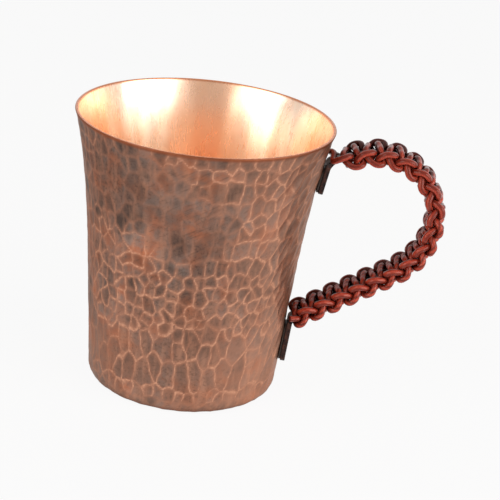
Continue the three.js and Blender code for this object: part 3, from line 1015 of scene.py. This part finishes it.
# Pale fibre streaks: the thread's grain, made pale as a painted highlight.
fibre_and_painted_highlight_share = add(
    waxed, "ShaderNodeMapRange", {"Value": fibres, "From Min": 0.42, "From Max": 0.68, "To Max": 0.55}
)
# Painted shade in the grooves between the strands.
painted_groove_shade = add(waxed, "ShaderNodeMath", {0: groove_mark, 1: 0.8}, operation="MULTIPLY")
cord_colour = colour("#a62a1a")
for share, code in (
    (dye.outputs["Fac"], "#c0402b"),
    # Fibre streaks, partly grain and partly painted highlight.
    (fibre_and_painted_highlight_share.outputs["Result"], "#ee8064"),
    # Painted shade in the grooves between the strands.
    (painted_groove_shade.outputs[0], "#42100b"),
    # Painted shade on the side turned to the strip.
    (painted_shade_mark, "#3f0c07"),
):
    coat = {FACTOR: share, FIRST: cord_colour, SECOND: colour(code)}
    cord_colour = add(waxed, "ShaderNodeMix", coat, data_type="RGBA").outputs[RESULT]
wax_grade = add(waxed, "ShaderNodeMapRange", {"Value": fibres, "To Min": 0.2, "To Max": 0.4})
fibre_relief = add(waxed, "ShaderNodeBump", {"Height": fibres, "Distance": 0.06 * MM, "Strength": 0.7})
wax = add(
    waxed,
    "ShaderNodeBsdfPrincipled",
    {
        "Base Color": cord_colour,
        "Roughness": wax_grade.outputs["Result"],
        "Specular IOR Level": 0.35,
        "Specular Tint": colour("#ff9c82"),
        "Coat Weight": 0.3,
        "Coat Roughness": 0.13,
        "Normal": fibre_relief.outputs["Normal"],
    },
)
add(waxed, "ShaderNodeOutputMaterial", {"Surface": wax.outputs[0]})
cord_mesh.materials.append(waxed)
print("nodes in the wax:", len(waxed.node_tree.nodes))

# %% [markdown]
# The cup stands on a plain pale floor. To the camera, and in reflections, the floor is nearly
# white, with a share of real lit surface left in it, so that the cup's soft shadow still shows.

# %% The floor
FLOOR_HALF = 6.0  # metres
FLOOR_DROP = 0.02 * MM  # it lies this far under the base, so that the two never share a plane
FLOOR_GLOW = 0.92  # share of plain white where it is seen or mirrored

floor_shape = bmesh.new()
bmesh.ops.create_grid(floor_shape, x_segments=1, y_segments=1, size=FLOOR_HALF)
bmesh.ops.translate(floor_shape, verts=floor_shape.verts[:], vec=(0, 0, -FLOOR_DROP))
floor_mesh = bpy.data.meshes.new("floor")
floor_shape.to_mesh(floor_mesh)
floor_shape.free()
floor = new_object("floor", floor_mesh)

ground = new_material("pale_floor")
rays = add(ground, "ShaderNodeLightPath").outputs
direct = add(
    ground, "ShaderNodeMath", {0: rays["Is Camera Ray"], 1: rays["Is Glossy Ray"]}, operation="MAXIMUM"
)
seen = add(
    ground, "ShaderNodeMath", {0: direct.outputs[0], 1: rays["Is Transmission Ray"]}, operation="MAXIMUM"
)
share = add(ground, "ShaderNodeMath", {0: seen.outputs[0], 1: FLOOR_GLOW}, operation="MULTIPLY")
matt = add(ground, "ShaderNodeBsdfDiffuse", {"Color": colour("#f4f2f0")})
glow = add(ground, "ShaderNodeEmission", {"Color": (1, 1, 1, 1), "Strength": 1.0})
both = add(ground, "ShaderNodeMixShader", {0: share.outputs[0], 1: matt.outputs[0], 2: glow.outputs[0]})
add(ground, "ShaderNodeOutputMaterial", {"Surface": both.outputs[0]})
floor_mesh.materials.append(ground)
print("floor, m:", 2 * FLOOR_HALF)

# %% [markdown]
# The light is a plain studio set: two large soft boxes in front, low and to either side, and a
# white surrounding. The camera sees the world as plain white. Mirrored in the copper it is a white
# backdrop behind the cup, a light ceiling and a dimmer room in front. Dull surfaces get about a
# quarter of that, so that the boxes give the shapes their shading.

# %% Light
BOX_ELEVATION = math.radians(16)
BOX_DISTANCE, BOX_HEIGHT = 0.9, 0.6  # metres


def soft_box(name, bearing, width, radiance):
    """An area lamp facing the cup. bearing is in degrees from the front, to the right."""
    lamp = bpy.data.lights.new(name, "AREA")
    lamp.shape = "RECTANGLE"
    lamp.size, lamp.size_y = width, BOX_HEIGHT
    lamp.energy = radiance * math.pi * width * BOX_HEIGHT
    aside, level = math.radians(bearing), math.cos(BOX_ELEVATION)
    away = Vector((math.sin(aside) * level, -math.cos(aside) * level, math.sin(BOX_ELEVATION)))
    box = new_object(name, lamp)
    box.location = Vector((0, 0, CUP_HEIGHT / 2 * MM)) + away * BOX_DISTANCE
    box.rotation_euler = away.to_track_quat("Z", "Y").to_euler()


soft_box("soft_box_right", 60, 0.85, 3.9)
soft_box("soft_box_left", -49, 0.7, 3.0)

world = bpy.data.worlds.new("white_surrounding")
bpy.context.scene.world = world
world.use_nodes = True
world.node_tree.nodes.clear()
direction = add(world, "ShaderNodeTexCoord").outputs["Generated"]
towards = add(world, "ShaderNodeSeparateXYZ", {"Vector": direction}).outputs
# One row for each side: its axis, where its share is 0, where it is full, and how bright it is.
behind, low, above = [
    add(
        world,
        "ShaderNodeMapRange",
        {"Value": towards[axis], "From Min": none, "From Max": full, "To Max": brightness},
        interpolation_type="SMOOTHSTEP",
    ).outputs["Result"]
    for axis, none, full, brightness in (
        ("Y", -0.1, 0.5, 1.0),
        ("Z", 0.8, 0.3, 1.0),
        ("Z", 0.45, 0.85, 0.7),
    )
]
backdrop = add(world, "ShaderNodeMath", {0: behind, 1: low}, operation="MULTIPLY").outputs[0]
lit = add(world, "ShaderNodeMath", {0: backdrop, 1: above}, operation="MAXIMUM").outputs[0]
room = add(world, "ShaderNodeMapRange", {"Value": lit, "To Min": 0.58, "To Max": 1.0})
rays = add(world, "ShaderNodeLightPath").outputs
mirrored = add(
    world,
    "ShaderNodeMath",
    {0: rays["Is Glossy Ray"], 1: rays["Is Transmission Ray"]},
    operation="MAXIMUM",
)
dimming = add(world, "ShaderNodeMapRange", {"Value": mirrored.outputs[0], "To Min": 0.28, "To Max": 1.0})
lighting = add(
    world,
    "ShaderNodeMath",
    {0: dimming.outputs["Result"], 1: room.outputs["Result"]},
    operation="MULTIPLY",
)
strength = add(
    world, "ShaderNodeMath", {0: rays["Is Camera Ray"], 1: lighting.outputs[0]}, operation="MAXIMUM"
)
white = add(world, "ShaderNodeBackground", {"Color": (1, 1, 1, 1), "Strength": strength.outputs[0]})
add(world, "ShaderNodeOutputWorld", {"Surface": white.outputs[0]})
print("lamps:", [light.name for light in bpy.data.lights])

# %% [markdown]
# The camera stands where the photograph was taken from: in front, a little above the rim, and
# rolled, so that the cup leans in the picture.

# %% Camera
ELEVATION = math.radians(21.2883)
ROLL = math.radians(6.4520)
DISTANCE = 600 * MM
TARGET = Vector((18.829, 0, 47.885)) * MM
FOCAL_PIXELS, FRAME_PIXELS = 1804.196, 500
SENSOR_WIDTH = 36.0

back = Vector((0, -math.cos(ELEVATION), math.sin(ELEVATION)))
level_up = Vector((0, math.sin(ELEVATION), math.cos(ELEVATION)))
right = math.cos(ROLL) * Vector((1, 0, 0)) + math.sin(ROLL) * level_up
up = -math.sin(ROLL) * Vector((1, 0, 0)) + math.cos(ROLL) * level_up
camera_data = bpy.data.cameras.new("photo_camera")
camera_data.sensor_width = SENSOR_WIDTH
camera_data.lens = FOCAL_PIXELS / FRAME_PIXELS * SENSOR_WIDTH
camera_data.clip_start = 10 * MM
camera = new_object("photo_camera", camera_data)
turned = Matrix((right, up, back)).transposed().to_4x4()
camera.matrix_world = Matrix.Translation(TARGET + back * DISTANCE) @ turned
bpy.context.scene.camera = camera
bpy.context.scene.view_settings.view_transform = "Standard"
print("lens, mm:", round(camera_data.lens, 1))
